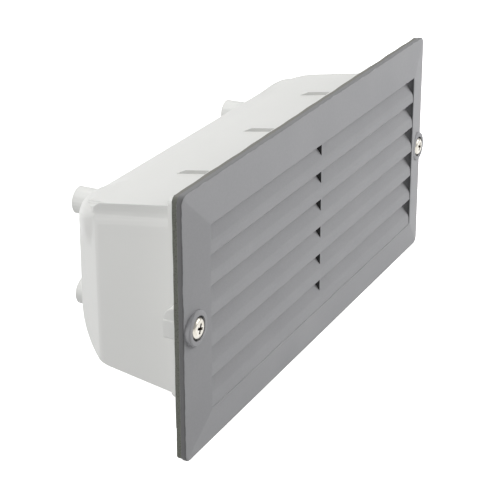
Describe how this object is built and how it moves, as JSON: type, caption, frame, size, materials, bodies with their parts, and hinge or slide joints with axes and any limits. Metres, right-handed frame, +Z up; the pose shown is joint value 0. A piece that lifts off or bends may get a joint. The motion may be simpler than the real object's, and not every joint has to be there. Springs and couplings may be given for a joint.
{
  "type": "recessed step light",
  "caption": "Recessed wall and step light: louvred grey die-cast fascia with a foam gasket, on a white moulded box with rear fixing posts and a cable gland.",
  "frame": {"origin": "centre of the fascia in the wall's face, where the gasket seats", "axes": "+X along the fascia to the right, +Y into the wall, +Z up"},
  "size_m": [0.24, 0.0817, 0.106],
  "materials": {
    "powder_coat": "satin powder coat",
    "moulding": "fine moulded",
    "foam": "closed-cell foam",
    "nickel": "nickel plate",
    "black_rubber": "matte",
    "brass": "turned",
    "lens": "frosted",
    "grey_rubber": "matte",
    "white_sheet": "white gloss coat",
    "board": "solder mask",
    "led": "phosphor",
    "driver_case": "moulded",
    "block_plastic": "moulded",
    "brown": "wire sleeve",
    "blue": "wire sleeve",
    "green": "wire sleeve",
    "red": "wire sleeve",
    "black": "moulded"
  },
  "bodies": {
    "housing": {"back_box": "moulding", "ear_inserts": "brass", "diffuser": "lens", "diffuser_seal": "grey_rubber", "diffuser_screws": "nickel", "gear_tray": "white_sheet", "tray_screws": "nickel", "led_board": "board", "leds": "led", "board_screws": "nickel", "led_driver": "driver_case", "driver_screws": "nickel", "terminal_block": "block_plastic", "terminal_sleeves": "brass", "terminal_screws": "nickel", "block_screws": "nickel", "earth_screw": "brass", "earth_tag": "nickel", "wire_live": "brown", "wire_neutral": "blue", "wire_earth": "green", "wire_dc_positive": "red", "wire_dc_negative": "black", "gland_body": "black", "gland_washer": "grey_rubber", "gland_seal": "grey_rubber", "gland_locknut": "black", "blanking_plug": "grey_rubber"},
    "cover": {"fascia": "powder_coat", "fascia_gasket": "foam", "screw_seals": "black_rubber"},
    "screw_left": {"screw_left": "nickel", "retainer_left": "nickel"},
    "screw_right": {"screw_right": "nickel", "retainer_right": "nickel"},
    "gland_nut": {"gland_nut": "black"}
  },
  "joints": [
    {"name": "cover_lift", "type": "slide", "parent": "housing", "child": "cover", "axis": [0, -1, 0], "range_m": [0, 0.06]},
    {"name": "screw_left_turn", "type": "hinge", "parent": "cover", "child": "screw_left", "pos_m": [-0.1124, -0.005, 0], "axis": [0, -1, 0], "continuous": true},
    {"name": "screw_right_turn", "type": "hinge", "parent": "cover", "child": "screw_right", "pos_m": [0.1124, -0.005, 0], "axis": [0, -1, 0], "continuous": true},
    {"name": "gland_nut_turn", "type": "hinge", "parent": "housing", "child": "gland_nut", "pos_m": [-0.025, 0.068, 0], "axis": [0, 1, 0], "continuous": true}
  ]
}
